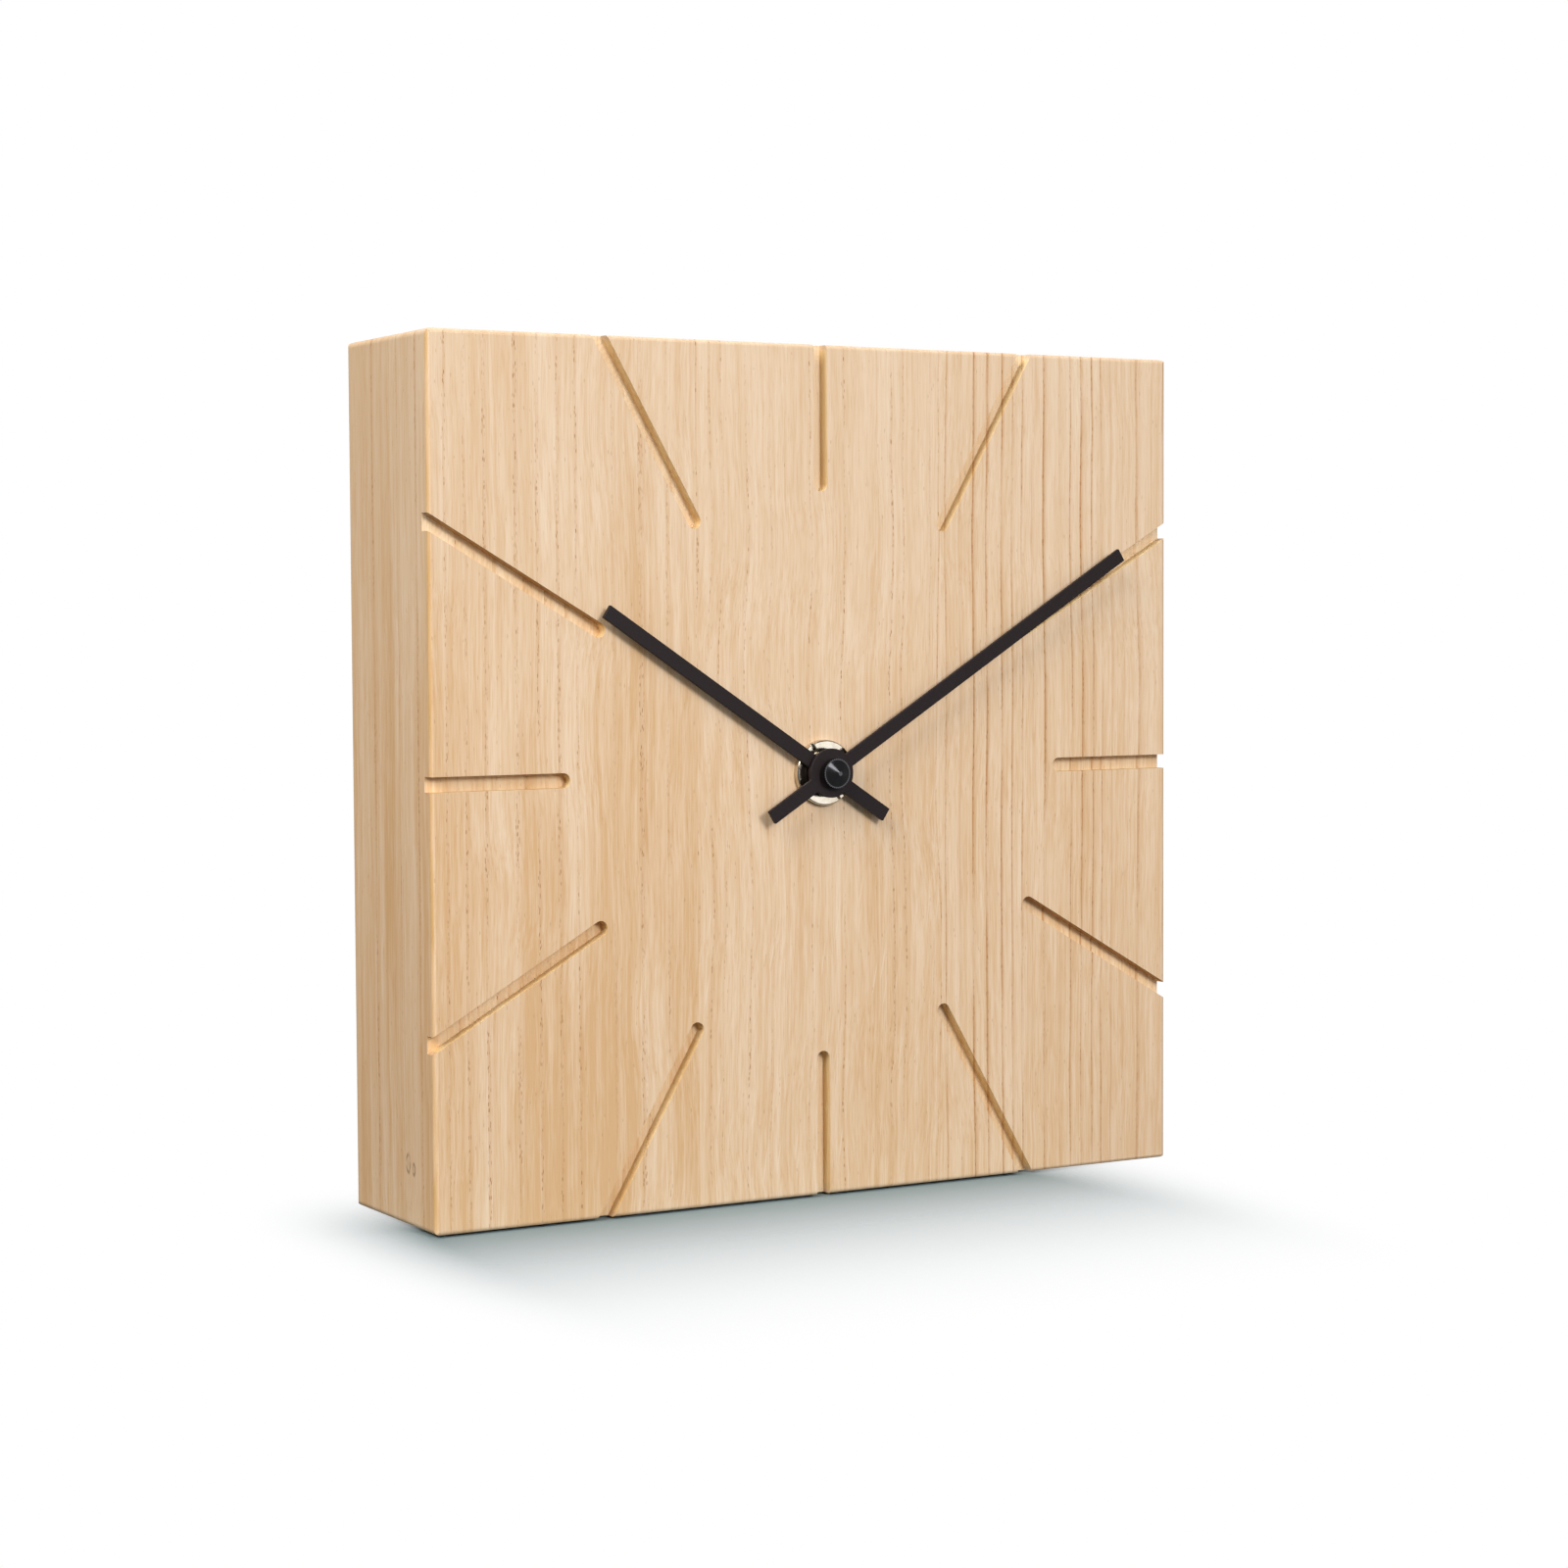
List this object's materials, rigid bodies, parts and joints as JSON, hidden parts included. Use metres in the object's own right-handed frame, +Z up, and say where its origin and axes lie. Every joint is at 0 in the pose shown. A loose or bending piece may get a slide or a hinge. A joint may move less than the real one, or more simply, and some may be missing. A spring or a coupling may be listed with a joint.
{
  "type": "wall clock",
  "caption": "Square wall clock glued from three solid oak staves, with milled hour grooves, two black baton hands, a round slotted nut and a battery quartz movement in a back pocket.",
  "frame": {"origin": "centre of the flat back face, in the plane of the wall, on the axis of the hands", "axes": "+Y into the wall, the dial faces -Y; +Z up; +X to the right seen from the front"},
  "size_m": [0.185, 0.0503, 0.185],
  "materials": {
    "oak": "oiled, open grain running upright",
    "hanger_steel": "zinc plated",
    "screw_steel": "zinc plated",
    "nickel": "polished nickel plate",
    "washer_rubber": "matte",
    "hand_black": "satin black paint",
    "collet_brass": "turned",
    "cap_black": "gloss black plate",
    "case_plastic": "fine moulded texture",
    "plate_plastic": "moulded",
    "gear_plastic": "moulded acetal",
    "arbor_brass": "turned",
    "knob_plastic": "moulded",
    "spring_bronze": "rolled strip",
    "magnet": "sintered",
    "motor_steel": "rolled sheet",
    "copper_wire": "enamelled copper wire, close wound",
    "board_green": "solder mask over glass laminate",
    "chip_black": "epoxy drop",
    "contact_nickel": "nickel plated spring strip",
    "can_steel": "drawn steel",
    "battery_paste": "sealed inside the can",
    "battery_jacket": "shrink film, plain"
  },
  "bodies": {
    "clock": {"oak_stave_left": "oak", "oak_stave_centre": "oak", "oak_stave_right": "oak", "hanger_plate": "hanger_steel", "hanger_screws": "screw_steel", "dial_nut": "nickel", "rubber_washer": "washer_rubber", "movement_front_case": "case_plastic", "movement_rear_cover": "case_plastic", "gear_plate": "plate_plastic", "stator": "motor_steel", "coil_core": "motor_steel", "coil_bobbin": "plate_plastic", "coil_winding": "copper_wire", "circuit_board": "board_green", "control_chip": "chip_black", "quartz_crystal": "nickel", "positive_contact": "contact_nickel", "negative_contact": "contact_nickel"},
    "minute_hand_group": {"minute_hand": "hand_black", "minute_hand_collet": "collet_brass", "hand_cap": "cap_black", "minute_arbor": "arbor_brass", "clutch_spring": "spring_bronze"},
    "hour_hand_group": {"hour_hand": "hand_black", "hour_hand_collet": "collet_brass", "hour_wheel": "gear_plastic"},
    "setting_group": {"setting_wheel": "gear_plastic", "setting_knob": "knob_plastic"},
    "centre_wheel_group": {"centre_wheel": "gear_plastic"},
    "third_wheel_group": {"third_wheel": "gear_plastic"},
    "seconds_wheel_group": {"seconds_wheel": "gear_plastic"},
    "intermediate_wheel_group": {"intermediate_wheel": "gear_plastic"},
    "rotor_group": {"rotor_pinion": "gear_plastic", "rotor_magnet": "magnet"},
    "battery": {"battery_can": "can_steel", "battery_core": "battery_paste", "battery_sleeve": "battery_jacket"}
  },
  "joints": [
    {"name": "minute_hand_turn", "type": "hinge", "parent": "clock", "child": "minute_hand_group", "pos_m": [0, 0, 0], "axis": [0, 1, 0], "continuous": true},
    {"name": "hour_hand_turn", "type": "hinge", "parent": "clock", "child": "hour_hand_group", "pos_m": [0, 0, 0], "axis": [0, 1, 0], "continuous": true},
    {"name": "setting_knob_turn", "type": "hinge", "parent": "clock", "child": "setting_group", "pos_m": [0.01195, 0, 0.00105], "axis": [0, 1, 0], "continuous": true},
    {"name": "seconds_wheel_turn", "type": "hinge", "parent": "clock", "child": "seconds_wheel_group", "pos_m": [-0.00586, 0, 0.01498], "axis": [0, 1, 0], "continuous": true},
    {"name": "third_wheel_turn", "type": "hinge", "parent": "clock", "child": "third_wheel_group", "pos_m": [-0.00935, 0, 0.0054], "axis": [0, 1, 0], "continuous": true},
    {"name": "centre_wheel_turn", "type": "hinge", "parent": "clock", "child": "centre_wheel_group", "pos_m": [0, 0, 0], "axis": [0, 1, 0], "continuous": true},
    {"name": "intermediate_wheel_turn", "type": "hinge", "parent": "clock", "child": "intermediate_wheel_group", "pos_m": [0.0025, 0, 0.01425], "axis": [0, 1, 0], "continuous": true},
    {"name": "rotor_turn", "type": "hinge", "parent": "clock", "child": "rotor_group", "pos_m": [0.00968, 0, 0.01363], "axis": [0, 1, 0], "continuous": true},
    {"name": "battery_slide", "type": "slide", "parent": "clock", "child": "battery", "axis": [0, 1, 0], "range_m": [0, 0.03]}
  ],
  "couplings": [
    {"joint": "hour_hand_turn", "follows": "minute_hand_turn", "ratio": 0.083333},
    {"joint": "setting_knob_turn", "follows": "minute_hand_turn", "ratio": -0.33333},
    {"joint": "third_wheel_turn", "follows": "seconds_wheel_turn", "ratio": -0.13333},
    {"joint": "centre_wheel_turn", "follows": "seconds_wheel_turn", "ratio": 0.016667},
    {"joint": "intermediate_wheel_turn", "follows": "seconds_wheel_turn", "ratio": -6},
    {"joint": "rotor_turn", "follows": "seconds_wheel_turn", "ratio": 30}
  ]
}
